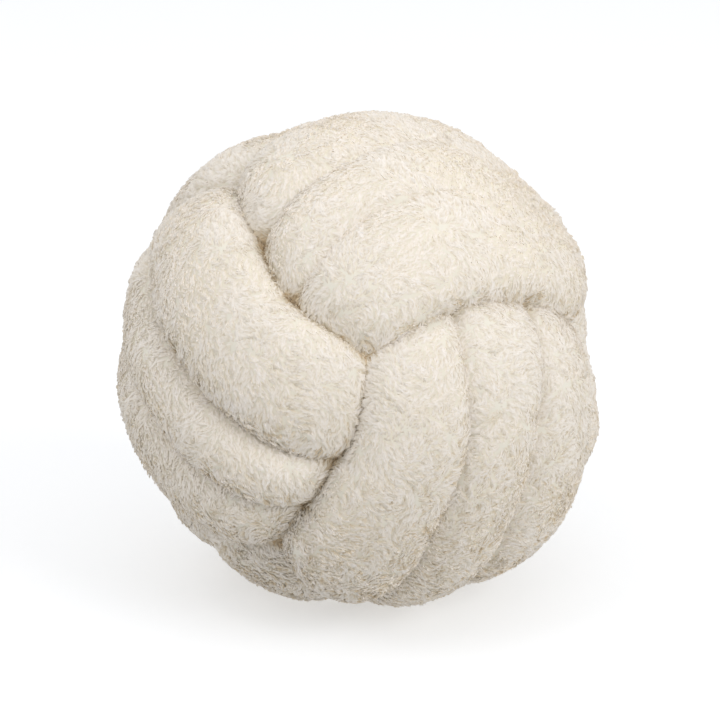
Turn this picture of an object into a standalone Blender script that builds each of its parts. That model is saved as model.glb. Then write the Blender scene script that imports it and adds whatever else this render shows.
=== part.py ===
"""Knot cushion: a ball knotted from one long stuffed plush tube.

The knot is a monkey's fist with three turns each way, so the ball shows six patches
of three strands, laid out as on a cube. Round each corner of that cube the patches
lap like a pinwheel: the long side of one covers the ends of the next. The tube's
turns press on each other without a gap, so the ball is one filled solid, from the
furrows between its strands to the tips of its pile.

It stands on a small flat spot, centred on the origin, with +Z up. The corner where
three patches meet looks to the front, along -Y.
"""

import math
from collections import namedtuple

import bmesh
import bpy
from mathutils import Matrix, Vector

MM = 0.001

# The ball, over the tips of the pile.
BALL_RADIUS = 150 * MM
CENTRE_HEIGHT = 140 * MM

# The strands, three to a patch. Angles are from the patch's middle, seen from the ball's
# centre, and a patch spans 90 degrees.
STRANDS = 3
CELLS_PER_STRAND = 8
HALF_PATCH_DEG = 45
HALF_MIDDLE_STRAND_DEG = 13

# How far the furrows lie under the crowns of the strands.
FURROW_DEPTH = 17 * MM
EDGE_DEPTH = 20 * MM
PIT_DEPTH = 4 * MM
PIT_REACH = 0.16

# How round the strands are: the angle of each one's arc from its crown to its furrow, and
# how full the arc is, where 2 is a true circle and more is squarer. At a patch's end the
# strands round over together, and the furrows between them lose a share of their depth.
SIDE_ARC_DEG = 86
END_ARC_DEG = 80
END_STARTS_DEG = 30
END_LOSS = 0.55
FULLNESS = 2.8

# How far a patch's long sides are drawn in where the ends of its neighbour push.
DRAWN_IN_DEG = 8

# Which way the front corner looks, and how the ball is turned about it.
CORNER_LIFT_DEG = 21.5
CORNER_TURN_DEG = 1.5
CORNER_ROLL_DEG = -23

# The softness of the edge of the flat spot.
SETTLE = 3 * MM

PLUSH_COLOUR = (0.80, 0.72, 0.60, 1.0)
PLUSH_ROUGHNESS = 0.95

# The patches lie on the faces of a cube. For each of its axes, the axis that the strands
# of its two patches run along, and the one that they lie side by side on.
ALONG = {0: 1, 1: 2, 2: 0}
ACROSS = {0: 2, 1: 0, 2: 1}
PATCHES = {
    "left": (0, 1),
    "right": (1, 1),
    "top": (2, 1),
    "far_right": (0, -1),
    "far_left": (1, -1),
    "base": (2, -1),
}

# Where the hand-made knot strays from an even one. A place is the angle along and across
# a patch, from its middle, and reach is how far round it the change fades out. A push
# moves the strands sideways, a swell raises them, and a slack makes the furrows deeper
# by a share of their depth, or shallower where it is negative.
Push = namedtuple("Push", "patch along across move_along move_across reach")
PUSHES = (
    Push("left", along=-42, across=44, move_along=-2, move_across=2, reach=16),
    Push("left", along=-15, across=38, move_along=0, move_across=1.5, reach=22),
    Push("left", along=-15, across=8, move_along=0, move_across=-2, reach=10),
    Push("left", along=10, across=8, move_along=0, move_across=-4, reach=24),
    Push("left", along=38, across=9, move_along=0, move_across=-5, reach=16),
    Push("left", along=15, across=-12, move_along=0, move_across=-2, reach=25),
    Push("left", along=42, across=-42, move_along=0, move_across=6, reach=14),
    Push("right", along=-18, across=40, move_along=0, move_across=5.5, reach=20),
    Push("right", along=8, across=40, move_along=0, move_across=2, reach=9),
    Push("right", along=0, across=10, move_along=0, move_across=2.5, reach=16),
    Push("right", along=44, across=-13, move_along=0, move_across=-5, reach=12),
    Push("right", along=28, across=39, move_along=0, move_across=-2, reach=14),
    Push("right", along=44, across=15, move_along=0, move_across=3, reach=14),
    Push("top", along=-42, across=44, move_along=0, move_across=-2, reach=14),
    Push("top", along=-8, across=-9, move_along=0, move_across=-2.5, reach=20),
    Push("top", along=0, across=37, move_along=0, move_across=-2.5, reach=25),
    Push("top", along=25, across=9, move_along=0, move_across=-3, reach=16),
    Push("top", along=48, across=16, move_along=0, move_across=4, reach=10),
    Push("top", along=49, across=-9, move_along=-2, move_across=4, reach=10),
)

Swell = namedtuple("Swell", "patch along across rise reach")
SWELLS = (
    Swell("top", along=0, across=-32, rise=6 * MM, reach=26),
    Swell("top", along=-43, across=14, rise=7 * MM, reach=10),
    Swell("top", along=-41, across=34, rise=7 * MM, reach=9),
    Swell("top", along=-25, across=-17, rise=3 * MM, reach=12),
    Swell("top", along=-38, across=-8, rise=-2.5 * MM, reach=9),
    Swell("left", along=-38, across=-4, rise=-3 * MM, reach=10),
    Swell("far_left", along=25, across=30, rise=5 * MM, reach=24),
    Swell("far_left", along=10, across=46, rise=5 * MM, reach=12),
    Swell("far_right", along=30, across=29, rise=-17 * MM, reach=11.5),
    Swell("far_right", along=39, across=38, rise=-8 * MM, reach=8),
    Swell("far_right", along=40, across=12, rise=4 * MM, reach=12),
    Swell("right", along=-35, across=20, rise=5 * MM, reach=26),
    Swell("right", along=-16, across=-34, rise=10 * MM, reach=26),
)

Slack = namedtuple("Slack", "patch along across share reach")
SLACKS = (
    Slack("left", along=12, across=-5, share=1.1, reach=34),
    Slack("top", along=-6, across=8, share=-0.85, reach=27),
    Slack("top", along=34, across=-11, share=0.3, reach=14),
    Slack("top", along=-30, across=0, share=-0.45, reach=26),
    Slack("right", along=-16, across=0, share=0.35, reach=22),
    Slack("right", along=46, across=-10, share=0.4, reach=16),
)


def clear_scene():
    for obj in list(bpy.data.objects):
        bpy.data.objects.remove(obj)


def knot_turn():
    """The turn that brings the cube's corner (1, 1, 1) to the front of the ball."""
    lift, turn = math.radians(CORNER_LIFT_DEG), math.radians(CORNER_TURN_DEG)
    corner = Vector((math.sin(turn) * math.cos(lift), -math.cos(turn) * math.cos(lift), math.sin(lift)))
    right = Vector((0, 0, 1)).cross(-corner).normalized() * -1
    up = corner.cross(right)
    lean = math.acos(1 / math.sqrt(3))
    axes = []
    for clock in (210, 330, 90):
        angle = math.radians(clock + CORNER_ROLL_DEG)
        outwards = right * math.cos(angle) + up * math.sin(angle)
        axes.append(corner * math.cos(lean) + outwards * math.sin(lean))
    return Matrix(axes).transposed()


def strand_place(g):
    """The strand that grid coordinate g, from -1 to 1, falls on, its place across that
    strand, from -1 to 1, and its angle from the patch's middle."""
    strand = min(STRANDS - 1, int((g + 1) * STRANDS / 2))
    place = (g + 1) * STRANDS - 2 * strand - 1
    arc = math.radians(SIDE_ARC_DEG)
    share = math.copysign((math.sin(abs(place) * arc) / math.sin(arc)) ** (2 / FULLNESS), place)
    half_outer = (HALF_PATCH_DEG - HALF_MIDDLE_STRAND_DEG) / 2
    middle = (strand - 1) * (HALF_MIDDLE_STRAND_DEG + half_outer)
    half = HALF_MIDDLE_STRAND_DEG if strand == 1 else half_outer
    return strand, place, math.radians(middle + half * share)


def arc_drop(place, arc_deg):
    """How far an arc has dropped from its crown: 0 at place 0, and 1 at place 1."""
    arc = math.radians(arc_deg)
    return (1 - math.cos(abs(place) * arc) ** (2 / FULLNESS)) / (1 - math.cos(arc) ** (2 / FULLNESS))


def edge_depth(g):
    """The depth of the furrow round a patch, which is deepest where other furrows meet it."""
    pits = sum(math.exp(-(((g - at) / PIT_REACH) ** 2)) for at in (-1, -1 / 3, 1 / 3, 1))
    return EDGE_DEPTH + PIT_DEPTH * pits


def surface_drop(g_along, g_across):
    """How far a point of a patch lies under the ball's outer radius."""
    strand, place, _ = strand_place(g_across)
    outer_side = strand != 1 and place * (strand - 1) > 0
    furrow = 0 if outer_side else FURROW_DEPTH * arc_drop(place, SIDE_ARC_DEG)
    side = arc_drop(place, SIDE_ARC_DEG) if outer_side else 0
    _, _, angle = strand_place(g_along)
    starts = math.radians(END_STARTS_DEG)
    past = max(0, (abs(angle) - starts) / (math.radians(HALF_PATCH_DEG) - starts))
    end = arc_drop(past, END_ARC_DEG)
    share = 1 - (1 - side) * (1 - end)
    rim = edge_depth(g_along) + edge_depth(g_across) - edge_depth(1)
    return furrow * (1 - END_LOSS * share) + rim * share


def drawn_in(d):
    """Direction d moved so that each patch's long sides are drawn in and its ends reach out."""
    pull = math.radians(DRAWN_IN_DEG) * 2
    squares = [x * x for x in d]
    moved = [d[i] * (1 + pull * (squares[ACROSS[i]] - squares[ALONG[i]])) for i in range(3)]
    return Vector(moved).normalized()


def patch_direction(patch, along_deg, across_deg):
    """The direction at an angle along and across a named patch."""
    facing, sign = PATCHES[patch]
    direction = Vector()
    direction[facing] = sign
    direction[ALONG[facing]] = math.tan(math.radians(along_deg))
    direction[ACROSS[facing]] = math.tan(math.radians(across_deg))
    return direction.normalized()


def nearness(direction, row):
    """How much a row of a table acts in a direction, from 1 at its place to 0 far off."""
    apart = direction.angle(patch_direction(row.patch, row.along, row.across))
    return math.exp(-((apart / math.radians(row.reach)) ** 2))


def pushed(direction):
    """Direction moved by every push that reaches it."""
    moved = direction.copy()
    for push in PUSHES:
        start = patch_direction(push.patch, push.along, push.across)
        end = patch_direction(push.patch, push.along + push.move_along, push.across + push.move_across)
        moved += (end - start) * nearness(direction, push)
    return moved.normalized()


def table_sum(table, column, direction):
    """What the rows of a table add up to in a direction."""
    return sum(getattr(row, column) * nearness(direction, row) for row in table)


def knot_point(cube_point):
    """Where a point of the cube from -1 to 1 lies on the knot, before the ball is turned."""
    facing = max(range(3), key=lambda i: abs(cube_point[i]))
    along, across = ALONG[facing], ACROSS[facing]
    direction = Vector()
    for axis in range(3):
        _, _, angle = strand_place(cube_point[axis])
        direction[axis] = math.tan(angle)
    direction = pushed(drawn_in(direction.normalized()))
    drop = surface_drop(cube_point[along], cube_point[across]) * (1 + table_sum(SLACKS, "share", direction))
    return direction * (BALL_RADIUS + table_sum(SWELLS, "rise", direction) - drop)


def settled(height):
    """A height over the floor, with what would sink into the floor laid flat on it."""
    if height > SETTLE:
        return height
    return max(0, height + SETTLE) ** 2 / (4 * SETTLE)


def plush_material():
    material = bpy.data.materials.new("cream_plush")
    material.use_nodes = True
    shader = material.node_tree.nodes["Principled BSDF"]
    shader.inputs["Base Color"].default_value = PLUSH_COLOUR
    shader.inputs["Roughness"].default_value = PLUSH_ROUGHNESS
    shader.inputs["Metallic"].default_value = 0
    return material


def knot_cushion():
    """The ball: a cube with a grid for every strand, each vertex moved to its place."""
    bm = bmesh.new()
    bmesh.ops.create_cube(bm, size=2)
    cells = STRANDS * CELLS_PER_STRAND
    bmesh.ops.subdivide_edges(bm, edges=bm.edges[:], cuts=cells - 1, use_grid_fill=True)
    turn = knot_turn()
    for vertex in bm.verts:
        vertex.co = turn @ knot_point(vertex.co)
        vertex.co.z = settled(vertex.co.z + CENTRE_HEIGHT)
    centre = [(min(v.co[i] for v in bm.verts) + max(v.co[i] for v in bm.verts)) / 2 for i in range(2)]
    bmesh.ops.translate(bm, verts=bm.verts[:], vec=(-centre[0], -centre[1], 0))
    bmesh.ops.recalc_face_normals(bm, faces=bm.faces[:])
    mesh = bpy.data.meshes.new("knot_cushion")
    bm.to_mesh(mesh)
    bm.free()
    mesh.shade_smooth()
    mesh.materials.append(plush_material())
    cushion = bpy.data.objects.new("knot_cushion", mesh)
    bpy.context.scene.collection.objects.link(cushion)
    return cushion


clear_scene()
knot_cushion()
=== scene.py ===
"""Knot cushion: the looks of a ball knotted from one long stuffed tube of cream teddy plush."""

import math

import bpy
import numpy as np
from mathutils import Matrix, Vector
from mathutils.kdtree import KDTree


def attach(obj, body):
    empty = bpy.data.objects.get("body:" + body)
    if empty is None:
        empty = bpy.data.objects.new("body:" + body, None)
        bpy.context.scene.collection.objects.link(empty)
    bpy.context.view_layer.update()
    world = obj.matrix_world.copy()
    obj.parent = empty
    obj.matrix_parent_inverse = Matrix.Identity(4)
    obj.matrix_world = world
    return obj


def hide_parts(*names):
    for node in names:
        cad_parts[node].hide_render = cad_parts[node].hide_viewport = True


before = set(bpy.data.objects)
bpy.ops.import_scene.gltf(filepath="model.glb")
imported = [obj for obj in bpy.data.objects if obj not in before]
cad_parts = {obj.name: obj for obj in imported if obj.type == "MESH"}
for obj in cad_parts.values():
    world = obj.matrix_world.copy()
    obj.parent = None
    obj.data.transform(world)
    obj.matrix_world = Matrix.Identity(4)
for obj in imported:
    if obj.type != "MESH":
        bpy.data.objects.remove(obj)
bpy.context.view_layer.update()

MM = 0.001

# ---------------------------------------------------------------------------------------
# The camera looks down a little on the front of the ball, from where a person who stands
# back to look at it would hold a long lens.
CAMERA_LENS_MM = 135
CAMERA_DISTANCE = 1660 * MM
CAMERA_LIFT = math.radians(20)
AIM_HEIGHT = 141.5 * MM

camera_height = AIM_HEIGHT + CAMERA_DISTANCE * math.sin(CAMERA_LIFT)
bpy.ops.object.camera_add(
    location=(0, -CAMERA_DISTANCE * math.cos(CAMERA_LIFT), camera_height),
    rotation=(math.pi / 2 - CAMERA_LIFT, 0, 0),
)
camera = bpy.context.object
camera.name = "camera"
camera.data.lens = CAMERA_LENS_MM
camera.data.clip_end = 100
bpy.context.scene.camera = camera
bpy.context.scene.view_settings.view_transform = "Standard"

# ---------------------------------------------------------------------------------------
# The floor is a white paper sheet that goes on past the view, in a white room with four
# soft boxes. Light comes through the paper too, so shadows on it stay pale, and it throws
# none back up on the ball.
FLOOR_SIZE = 16
FLOOR_WHITE = "#E2E4E7"
FLOOR_GLOW = 0.36
ROOM_WHITE = "#FFFFFF"
ROOM_STRENGTH = 0.62
SOFT_BOXES = {
    "top": dict(place=(0, 0, 2.2), size=2.4, watts=4),
    "right": dict(place=(1.9, -1.3, 1.6), size=1.5, watts=25),
    "left": dict(place=(-1.6, -0.7, 2.5), size=1.5, watts=14.5),
    "back": dict(place=(0, 1.6, 1.8), size=2.0, watts=2),
}


def linear(hex_colour):
    """An sRGB hex colour as the linear RGBA that a shader wants."""
    parts = [int(hex_colour[i:i + 2], 16) / 255 for i in (1, 3, 5)]
    return [p / 12.92 if p <= 0.04045 else ((p + 0.055) / 1.055) ** 2.4 for p in parts] + [1.0]


def new_material(name):
    """A new material and its Principled shader."""
    material = bpy.data.materials.new(name)
    material.use_nodes = True
    return material, material.node_tree.nodes["Principled BSDF"]


def add_soft_box(name, place, size, watts):
    """A square soft box of a size and power, turned to face the ball."""
    aim = Vector((0, 0, AIM_HEIGHT)) - Vector(place)
    turn = aim.to_track_quat("-Z", "Y").to_euler()
    bpy.ops.object.light_add(type="AREA", location=place, rotation=turn)
    light = bpy.context.object
    light.name = name
    light.data.size = size
    light.data.energy = watts


bpy.ops.mesh.primitive_plane_add(size=FLOOR_SIZE)
floor = bpy.context.object
floor.name = "floor"
floor.visible_diffuse = False

# Matt white paper, lit a little from below.
paper, paper_shader = new_material("white_paper")
paper_shader.inputs["Base Color"].default_value = linear(FLOOR_WHITE)
paper_shader.inputs["Roughness"].default_value = 0.9
paper_shader.inputs["Specular IOR Level"].default_value = 0.2
paper_shader.inputs["Emission Color"].default_value = linear(ROOM_WHITE)
paper_shader.inputs["Emission Strength"].default_value = FLOOR_GLOW
floor.data.materials.append(paper)

for name, settings in SOFT_BOXES.items():
    add_soft_box(f"{name}_soft_box", **settings)

room = bpy.data.worlds.new("white_room")
room.use_nodes = True
room.node_tree.nodes["Background"].inputs["Color"].default_value = linear(ROOM_WHITE)
room.node_tree.nodes["Background"].inputs["Strength"].default_value = ROOM_STRENGTH
bpy.context.scene.world = room

# ---------------------------------------------------------------------------------------
# The skin is the knitted backing of the plush, sewn into one long tube, stuffed and tied
# into the ball. The pile hides it but for the furrows between the strands, where it lies
# deep and has painted shade, warmer and darker. It is the frame's solid, made smooth and
# drawn in to leave the pile room.
PILE_HEIGHT = 1.4 * MM
PRESS = 3 * MM
MERGE_DISTANCE = 0.1 * MM
BALL_MIDDLE = np.array([0, 0, 140 * MM])
CROWN_RADIUS = 150 * MM
FURROW_TOP = 15.5 * MM
FURROW_FLOOR = 25 * MM
DENT = np.array([127, -6, 158]) * MM
DENT_REACH = 32 * MM
# The backing's colour on the crowns, and the warm painted shade it takes deep in the furrows.
BACKING_PALE = "#F0ECE0"
BACKING_PAINTED_SHADE = "#D6BF9A"


def unit(vectors):
    """The vectors at length 1."""
    return vectors / np.maximum(np.linalg.norm(vectors, axis=1, keepdims=True), 1e-9)


def furrow_depth(points):
    """How deep each point lies in a furrow, from 0 on the strands' crowns to 1. The dent at
    the end of one strand on the right is wide and open, so it counts as a crown."""
    drop = CROWN_RADIUS - np.linalg.norm(points - BALL_MIDDLE, axis=1)
    share = np.clip((drop - FURROW_TOP) / (FURROW_FLOOR - FURROW_TOP), 0, 1)
    away = np.clip(np.linalg.norm(points - DENT, axis=1) / DENT_REACH, 0, 1)
    return share * share * (3 - 2 * share) * away ** 3


def add_node(material, kind, links=None, **settings):
    """Adds a node to a material, sets it, and links its inputs to other nodes' outputs."""
    node = material.node_tree.nodes.new(kind)
    for name, value in settings.items():
        if name in node.inputs:
            node.inputs[name].default_value = value
        else:
            setattr(node, name, value)
    for name, output in (links or {}).items():
        material.node_tree.links.new(output, node.inputs[name])
    return node


# A copy of the frame's ball, without the marks that the frame keeps on its own.
cad_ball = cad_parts["knot_cushion"]
skin = cad_ball.copy()
skin.data = cad_ball.data.copy()
skin.name = "skin"
skin.data.name = "skin"
for key in list(skin.keys()):
    del skin[key]
bpy.context.scene.collection.objects.link(skin)
skin.data.materials.clear()

# The loose triangles are joined, paired into quads and subdivided once.
bpy.ops.object.select_all(action="DESELECT")
skin.select_set(True)
bpy.context.view_layer.objects.active = skin
bpy.ops.object.mode_set(mode="EDIT")
bpy.ops.mesh.select_all(action="SELECT")
bpy.ops.mesh.remove_doubles(threshold=MERGE_DISTANCE)
bpy.ops.mesh.tris_convert_to_quads()
bpy.ops.mesh.normals_make_consistent(inside=False)
bpy.ops.object.mode_set(mode="OBJECT")
bpy.ops.object.modifier_add(type="SUBSURF")
bpy.ops.object.modifier_apply(modifier="Subdivision")
bpy.ops.object.shade_smooth()

# The strands press on each other: the walls of each furrow swell towards each other until
# they nearly meet. None of the skin sinks into the floor.
places = np.array([v.co for v in skin.data.vertices])
normals = np.array([v.normal for v in skin.data.vertices])
outwards = unit(places - BALL_MIDDLE)
sideways = normals - outwards * np.sum(normals * outwards, axis=1, keepdims=True)
places += sideways * PRESS - outwards * PILE_HEIGHT
places[:, 2] = np.maximum(places[:, 2], PILE_HEIGHT / 2)
skin.data.vertices.foreach_set("co", places.ravel())
skin.data.update()

furrow = skin.data.attributes.new("furrow", "FLOAT", "POINT")
furrow.data.foreach_set("value", furrow_depth(places))

# Polyester knit, dyed cream and quite matt. Painted shade darkens and warms it down the
# furrows.
backing, backing_shader = new_material("polyester_knit")
depth = add_node(backing, "ShaderNodeAttribute", attribute_name="furrow")
painted_furrow_shade = add_node(backing, "ShaderNodeValToRGB", {"Fac": depth.outputs["Fac"]})
painted_furrow_shade.color_ramp.elements[0].color = linear(BACKING_PALE)
painted_furrow_shade.color_ramp.elements[1].color = linear(BACKING_PAINTED_SHADE)
backing.node_tree.links.new(painted_furrow_shade.outputs["Color"], backing_shader.inputs["Base Color"])
backing_shader.inputs["Roughness"].default_value = 0.95
skin.data.materials.append(backing)

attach(skin, "root")
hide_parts("knot_cushion")

# ---------------------------------------------------------------------------------------
# The pile is short teddy plush: locks of fine polyester a millimetre or so wide, that lie
# over and bunch into long wavy tufts. It is knitted as part of the backing. Here it is one
# piece for each of the knot's six patches.
LOCKS = 232000
LOCK_WIDTH = 1.05 * MM
LOCK_REACH = 4.8 * MM
CURL = 0.7 * MM
ROOT_DEPTH = 0.4 * MM
BEND_AT = 0.45
BEND_HEIGHT = 0.8
LOWEST = 0.2 * MM
SEED = 11

# Locks differ by these shares of their width, reach and height, and stay within two limits
# of height.
WIDTH_VARIES = 0.2
REACH_VARIES = 0.2
LOCK_HEIGHT_VARIES = 0.12
TUFT_HEIGHT_VARIES = 0.2
LEAST_HEIGHT, MOST_HEIGHT = 0.5, 1.7

# One lock in five stands up more than it lies.
STRAY_SHARE = 0.2
STRAY_RISE = 1.7
STRAY_REACH = 0.55

# The tufts are a few millimetres wide and twice as long, and draw their locks together,
# more from the sides than along. Each lock joins the nearest of the few tufts about it.
TUFTS = 22000
TUFT_RADIUS = 1.2 * MM
TUFT_STRETCH = 2.2
TUFT_PULL = 0.55
TUFT_ROUND = 0.3
BEND_PULL = 0.4
PULL_SIDEWAYS = 0.85
WIDEST_GAP = 1.5
NEAR_TUFTS = 8

# The pile falls, lies along its strand, and strays from that in wide swirls and short
# ripples. Each tuft, and each lock in it, turns a little its own way.
FALL = 0.6
ALONG_STRAND = 0.5
SWIRL, SWIRL_WAVELENGTH = 0.8, 60 * MM
RIPPLE, RIPPLE_WAVELENGTH = 0.65, 14 * MM
TUFT_TURN = 0.15
LOCK_TURN = 0.07

# Shade runs from 0, darkest, to 1. It spreads a little at random as the pile's own tone, and
# the rest is painted shade: it drops in the furrows and in the gaps between tufts, and more
# in those gaps where the cloth faces down.
SHADE = 0.78
SHADE_VARIES = 0.05
FURROW_SHADE = 0.7
TUFT_GAP_SHADE = 0.05
DOWN_FACING_GAP_SHADE = 0.2
DOWN_FACING_FROM = 0.5
LEAST_SHADE, MOST_SHADE = 0.02, 0.98

# Light sinks into the pile, so a lock is lit mostly as the tuft round it is, and a lock's
# underside as if it looked sideways.
LIT_AS_TUFT = 0.7
LIT_SIDEWAYS = 0.9

# Creams: from a lock's root, darker with painted shade, to its tip, and by shade.
ROOT_SHADED_CREAM = "#EEE5D9"
TIP_CREAM = "#FDF8F4"
TIP_CREAM_FROM = 0.7
SHADE_DARK = "#DECEB0"
SHADE_MIDDLE = "#EFECE1"
SHADE_MIDDLE_AT = 0.45
SHADE_PALE = "#FFFFFF"

# How the ball is turned, as the frame's solid is: the front corner's lift and turn, and
# the roll about it. Each patch faces along one of the knot's axes, one way or the other,
# and its strands run along another.
CORNER_LIFT = math.radians(21.5)
CORNER_TURN = math.radians(1.5)
CORNER_ROLL = math.radians(-23)
STRANDS_RUN = [1, 2, 0]
PATCHES = {
    "left": (0, 1),
    "right": (1, 1),
    "top": (2, 1),
    "far_right": (0, -1),
    "far_left": (1, -1),
    "base": (2, -1),
}


def knot_axes():
    """The three axes of the cube that the knot's patches lie on, as rows."""
    corner = Vector((
        math.sin(CORNER_TURN) * math.cos(CORNER_LIFT),
        -math.cos(CORNER_TURN) * math.cos(CORNER_LIFT),
        math.sin(CORNER_LIFT),
    ))
    right = corner.cross((0, 0, 1)).normalized() * -1
    up = corner.cross(right)
    lean = math.acos(1 / math.sqrt(3))
    rows = []
    for clock in (210, 330, 90):
        angle = math.radians(clock) + CORNER_ROLL
        spread = right * math.cos(angle) + up * math.sin(angle)
        rows.append(corner * math.cos(lean) + spread * math.sin(lean))
    return np.array(rows)


def across_from(vectors, axes):
    """What is left of each vector without its part along a unit axis."""
    return vectors - axes * np.sum(vectors * axes, axis=1, keepdims=True)


def waves(points, wavelength, seed, count=14):
    """A smooth random vector at each point, from a sum of sine waves."""
    draw = np.random.default_rng(seed)
    total = np.zeros_like(points)
    for _ in range(count):
        direction = draw.normal(size=3)
        direction *= 2 * math.pi / wavelength / np.linalg.norm(direction)
        phase = draw.uniform(0, 2 * math.pi)
        total += draw.normal(size=3) * np.sin(points @ direction + phase)[:, None]
    return total / math.sqrt(count / 2)


def spread_on(mesh, count, draw):
    """Points spread evenly over a mesh, with the smooth normal at each. Their places within
    the triangles step by two fractions that fill a square evenly, and stray a little."""
    even_steps = np.array([0.7548777, 0.5698403])
    strays = 0.25
    mesh.calc_loop_triangles()
    corners = np.array([t.vertices for t in mesh.loop_triangles])
    places = np.array([v.co for v in mesh.vertices])
    normals = np.array([v.normal for v in mesh.vertices])
    a, b, c = (places[corners[:, i]] for i in range(3))
    areas = np.linalg.norm(np.cross(b - a, c - a), axis=1) / 2
    ends = np.cumsum(areas)
    steps = (np.arange(count) + draw.uniform(size=count)) * ends[-1] / count
    triangle = np.searchsorted(ends, steps)
    pair = np.arange(count)[:, None] * even_steps
    pair = (pair + draw.uniform(0, strays, size=(count, 2))) % 1
    folded = pair.sum(axis=1) > 1
    pair[folded] = 1 - pair[folded]
    share = np.column_stack([1 - pair.sum(axis=1), pair])[:, :, None]
    chosen = corners[triangle]
    return (places[chosen] * share).sum(axis=1), unit((normals[chosen] * share).sum(axis=1))


def nearest_tuft(points, centres, flow):
    """For each point, the number of the nearest tuft, where tufts are long along the flow."""
    tree = KDTree(len(centres))
    for i, centre in enumerate(centres):
        tree.insert(centre, i)
    tree.balance()
    near = np.array([[found[1] for found in tree.find_n(p, NEAR_TUFTS)] for p in points])
    away = points[:, None] - centres[near]
    along = np.sum(away * flow[:, None], axis=2)
    squared = np.sum(away * away, axis=2) - along * along * (1 - 1 / TUFT_STRETCH ** 2)
    return near[np.arange(len(points)), np.argmin(squared, axis=1)]


def mesh_from(name, places, faces, maps):
    """A mesh of triangles, with a UV map from one pair for each corner."""
    mesh = bpy.data.meshes.new(name)
    mesh.vertices.add(len(places))
    mesh.vertices.foreach_set("co", places.ravel())
    mesh.loops.add(faces.size)
    mesh.loops.foreach_set("vertex_index", faces.ravel())
    mesh.polygons.add(len(faces))
    mesh.polygons.foreach_set("loop_start", np.arange(0, faces.size, 3))
    mesh.update(calc_edges=True)
    layer = mesh.uv_layers.new(name="OFBake")
    layer.uv.foreach_set("vector", maps.ravel())
    mesh.shade_smooth()
    mesh.validate()
    return mesh


# Where the locks root, which patch each is on, and which way its strand runs.
draw = np.random.default_rng(SEED)
axes = knot_axes()
roots, normals = spread_on(skin.data, LOCKS, draw)
centres, _ = spread_on(skin.data, TUFTS, draw)
facing = (roots - BALL_MIDDLE) @ axes.T
side = np.argmax(np.abs(facing), axis=1)
sign = np.sign(facing[np.arange(LOCKS), side])
strand = axes[np.array(STRANDS_RUN)[side]] * sign[:, None]

# Which way the pile lies, and which tuft each lock belongs to.
flow = FALL * np.array([0, 0, -1.0]) + ALONG_STRAND * strand
flow = flow + SWIRL * waves(roots, SWIRL_WAVELENGTH, SEED + 1)
flow = flow + RIPPLE * waves(roots, RIPPLE_WAVELENGTH, SEED + 2)
flow = unit(across_from(flow, normals))
tuft = nearest_tuft(roots, centres, flow)
tuft_turn = draw.normal(size=(TUFTS, 3))
tuft_rise = draw.normal(size=TUFTS)
tuft_shade = draw.normal(size=TUFTS)
flow = flow + TUFT_TURN * tuft_turn[tuft] + LOCK_TURN * draw.normal(size=(LOCKS, 3))
flow = unit(across_from(flow, normals))

# How far each lock lies beside the middle line of its tuft. Tufts are round on top.
beside = across_from(across_from(roots - centres[tuft], normals), flow)
gap = np.minimum(np.linalg.norm(beside, axis=1) / TUFT_RADIUS, WIDEST_GAP)
rounded = unit(normals + TUFT_ROUND * beside / TUFT_RADIUS)

# Each lock rises from its root, bends, and lies over to its tip. Tips draw in to the line
# of their tuft.
stray = draw.uniform(size=LOCKS) < STRAY_SHARE
height = 1 + TUFT_HEIGHT_VARIES * tuft_rise[tuft] + LOCK_HEIGHT_VARIES * draw.normal(size=LOCKS)
height = PILE_HEIGHT * np.clip(height, LEAST_HEIGHT, MOST_HEIGHT)
reach = LOCK_REACH * (1 + REACH_VARIES * draw.normal(size=LOCKS))
height = np.where(stray, height * STRAY_RISE, height)[:, None]
reach = np.where(stray, reach * STRAY_REACH, reach)[:, None]
starts = roots - normals * ROOT_DEPTH
tips = roots + normals * height + flow * reach
curl = np.cross(normals, flow) * draw.normal(size=(LOCKS, 1)) * CURL
bends = roots + normals * height * BEND_HEIGHT + flow * reach * BEND_AT + curl

tuft_tips = np.zeros_like(centres)
np.add.at(tuft_tips, tuft, tips)
tuft_tips /= np.maximum(np.bincount(tuft, minlength=TUFTS), 1)[:, None]
pull = tuft_tips[tuft] - tips
pull -= PULL_SIDEWAYS * flow * np.sum(pull * flow, axis=1, keepdims=True)
tips += pull * TUFT_PULL
bends += pull * TUFT_PULL * BEND_PULL

# A lock is a thin closed blade of four triangles, widest at its bend. None goes below the
# floor.
across = unit(np.cross(tips - starts, normals))
half_width = LOCK_WIDTH / 2 * (1 + WIDTH_VARIES * draw.normal(size=LOCKS))[:, None]
left_bends = bends + across * half_width
right_bends = bends - across * half_width
lock_points = np.stack([starts, left_bends, right_bends, tips], axis=1)
lock_points[:, :, 2] = np.maximum(lock_points[:, :, 2], LOWEST)
LOCK_FACES = np.array([[0, 1, 2], [2, 1, 3], [0, 3, 1], [0, 2, 3]])
HEIGHT_UP_LOCK = np.array([0, BEND_AT, BEND_AT, 1])

# How pale or dark each lock is: a little random tone, and painted shade in the furrows and
# in the gaps between tufts, most where the cloth faces down.
facing_down = np.clip(DOWN_FACING_FROM - normals[:, 2], 0, 1)
shade = SHADE + SHADE_VARIES * (tuft_shade[tuft] + draw.normal(size=LOCKS))
shade -= (TUFT_GAP_SHADE + DOWN_FACING_GAP_SHADE * facing_down) * gap ** 2 + FURROW_SHADE * furrow_depth(roots)
shade = np.clip(shade, LEAST_SHADE, MOST_SHADE)
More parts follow.
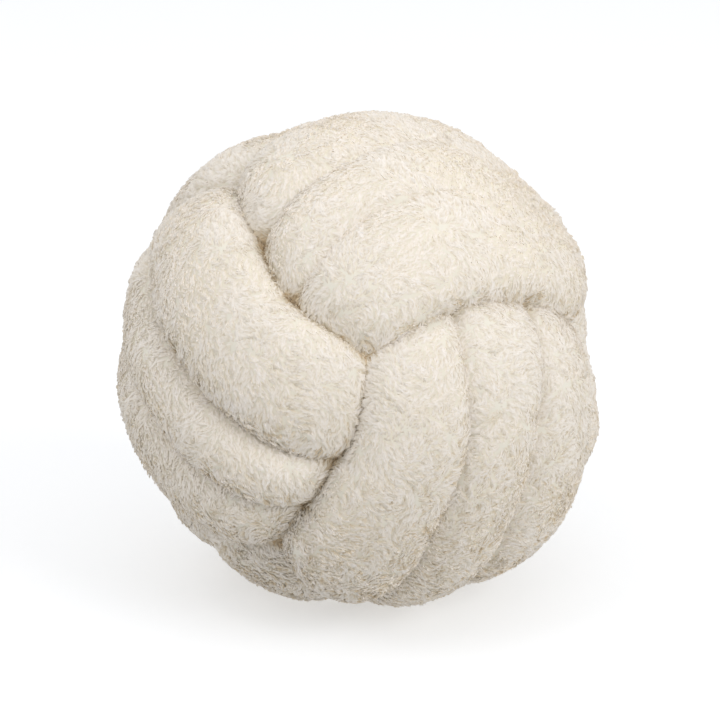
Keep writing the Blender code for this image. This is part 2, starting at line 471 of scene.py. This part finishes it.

# Teddy plush of polyester, matt, with painted shade that makes each lock a little darker at
# its root than at its tip. The map on it holds shade across and the height up the lock, so
# tufts and gaps differ in tone.
plush, plush_shader = new_material("polyester_teddy_plush")
lock_map = add_node(plush, "ShaderNodeUVMap", uv_map="OFBake")
parts = add_node(plush, "ShaderNodeSeparateXYZ", {"Vector": lock_map.outputs["UV"]})
by_height = add_node(plush, "ShaderNodeValToRGB", {"Fac": parts.outputs["Y"]})
by_height.color_ramp.elements[0].color = linear(ROOT_SHADED_CREAM)
by_height.color_ramp.elements[1].color = linear(TIP_CREAM)
by_height.color_ramp.elements[1].position = TIP_CREAM_FROM
by_shade = add_node(plush, "ShaderNodeValToRGB", {"Fac": parts.outputs["X"]})
by_shade.color_ramp.elements[0].color = linear(SHADE_DARK)
by_shade.color_ramp.elements[1].color = linear(SHADE_PALE)
by_shade.color_ramp.elements.new(SHADE_MIDDLE_AT).color = linear(SHADE_MIDDLE)
colour = add_node(plush, "ShaderNodeMix", data_type="RGBA", blend_type="MULTIPLY")
colour.inputs["Factor"].default_value = 1
plush.node_tree.links.new(by_height.outputs["Color"], colour.inputs["A"])
plush.node_tree.links.new(by_shade.outputs["Color"], colour.inputs["B"])
plush.node_tree.links.new(colour.outputs["Result"], plush_shader.inputs["Base Color"])
plush_shader.inputs["Roughness"].default_value = 0.85
plush_shader.inputs["Specular IOR Level"].default_value = 0.3


def soften_light(mesh, rounded):
    """Turns the normals of each lock's corners most of the way to its tuft's roundness."""
    own = np.zeros(len(mesh.polygons) * 3)
    mesh.polygons.foreach_get("normal", own)
    own = own.reshape(-1, len(LOCK_FACES), 1, 3)
    soft = np.repeat(rounded, LOCK_FACES.size, axis=0).reshape(-1, len(LOCK_FACES), 3, 3)
    facing_out = np.sum(own * soft, axis=3, keepdims=True)
    over = soft * LIT_AS_TUFT + own * (1 - LIT_AS_TUFT)
    under = own - soft * facing_out * LIT_SIDEWAYS
    mixed = unit(np.where(facing_out > 0, over, under).reshape(-1, 3))
    mesh.normals_split_custom_set(mixed.tolist())


# Light goes through the fine fibres, so the pile throws no shadow. The skin under it throws
# the strands' shadows, and the ball's on the floor.
for name, (axis, way) in PATCHES.items():
    chosen = (side == axis) & (sign == way)
    count = int(chosen.sum())
    faces = (LOCK_FACES[None] + 4 * np.arange(count)[:, None, None]).reshape(-1, 3)
    maps = np.stack([
        np.repeat(shade[chosen], LOCK_FACES.size),
        np.tile(HEIGHT_UP_LOCK[LOCK_FACES].ravel(), count),
    ], axis=1)
    mesh = mesh_from(f"pile_{name}", lock_points[chosen].reshape(-1, 3), faces, maps)
    mesh.materials.append(plush)
    soften_light(mesh, rounded[chosen])
    pile = bpy.data.objects.new(f"pile_{name}", mesh)
    pile.visible_shadow = False
    bpy.context.scene.collection.objects.link(pile)
    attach(pile, "root")
    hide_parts("knot_cushion")
